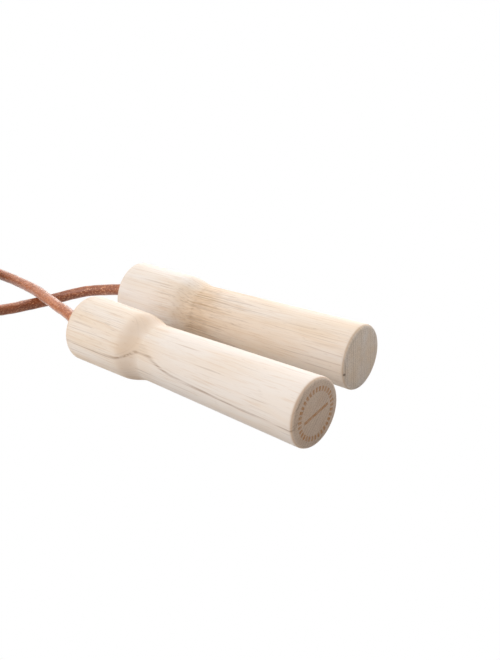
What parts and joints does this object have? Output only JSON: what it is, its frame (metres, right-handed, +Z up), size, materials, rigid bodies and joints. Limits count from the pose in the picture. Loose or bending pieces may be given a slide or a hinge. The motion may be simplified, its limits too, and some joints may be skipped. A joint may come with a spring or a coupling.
{
  "type": "jump rope",
  "caption": "Jump rope with a round leather cord and turned wooden handles that spin on ball bearings; the spare cord is wound into a tied coil.",
  "frame": {"origin": "on the table, at the bottom centre of the box round the two handles", "axes": "+X along the handles from their rope ends to their butts, +Y from the near handle to the far one, +Z up from the table"},
  "size_m": [0.3635, 0.1263, 0.0361],
  "materials": {
    "turned_wood": "unfinished fine-sanded pale maple",
    "leather": "round-cut vegetable-tanned leather, matt",
    "bearing_steel": "ground bearing steel",
    "plated_steel": "nickel-plated pressed steel",
    "brass": "turned brass",
    "strap": "dark brown split-leather strap"
  },
  "bodies": {
    "rope": {"near_bearing_inner_ring": "bearing_steel", "near_thrust_washer": "brass", "near_ferrule": "plated_steel", "near_cord": "leather", "far_bearing_inner_ring": "bearing_steel", "far_thrust_washer": "brass", "far_ferrule": "plated_steel", "far_cord": "leather", "cord_coil": "leather", "coil_tie": "strap"},
    "near_grip": {"near_handle": "turned_wood", "near_bearing_cover": "plated_steel", "near_bearing_outer_ring": "bearing_steel", "near_bearing_outer_shield": "plated_steel", "near_bearing_inner_shield": "plated_steel"},
    "near_ball_set": {"near_bearing_cage": "brass", "near_bearing_ball_1": "bearing_steel", "near_bearing_ball_2": "bearing_steel", "near_bearing_ball_3": "bearing_steel", "near_bearing_ball_4": "bearing_steel", "near_bearing_ball_5": "bearing_steel", "near_bearing_ball_6": "bearing_steel", "near_bearing_ball_7": "bearing_steel"},
    "far_grip": {"far_handle": "turned_wood", "far_bearing_cover": "plated_steel", "far_bearing_outer_ring": "bearing_steel", "far_bearing_outer_shield": "plated_steel", "far_bearing_inner_shield": "plated_steel"},
    "far_ball_set": {"far_bearing_cage": "brass", "far_bearing_ball_1": "bearing_steel", "far_bearing_ball_2": "bearing_steel", "far_bearing_ball_3": "bearing_steel", "far_bearing_ball_4": "bearing_steel", "far_bearing_ball_5": "bearing_steel", "far_bearing_ball_6": "bearing_steel", "far_bearing_ball_7": "bearing_steel"}
  },
  "joints": [
    {"name": "near_handle_spin", "type": "hinge", "parent": "rope", "child": "near_grip", "pos_m": [-0.06172, -0.02734, 0.01812], "axis": [0.9994, -0.0339, -0.0039], "continuous": true},
    {"name": "near_cage_spin", "type": "hinge", "parent": "rope", "child": "near_ball_set", "pos_m": [-0.06172, -0.02734, 0.01812], "axis": [0.9994, -0.0339, -0.0039], "continuous": true},
    {"name": "far_handle_spin", "type": "hinge", "parent": "rope", "child": "far_grip", "pos_m": [-0.07805, 0.02734, 0.01812], "axis": [0.9994, 0.0339, -0.0039], "continuous": true},
    {"name": "far_cage_spin", "type": "hinge", "parent": "rope", "child": "far_ball_set", "pos_m": [-0.07805, 0.02734, 0.01812], "axis": [0.9994, 0.0339, -0.0039], "continuous": true}
  ],
  "couplings": [
    {"joint": "near_cage_spin", "follows": "near_handle_spin", "ratio": 0.6241},
    {"joint": "far_cage_spin", "follows": "far_handle_spin", "ratio": 0.6241}
  ]
}
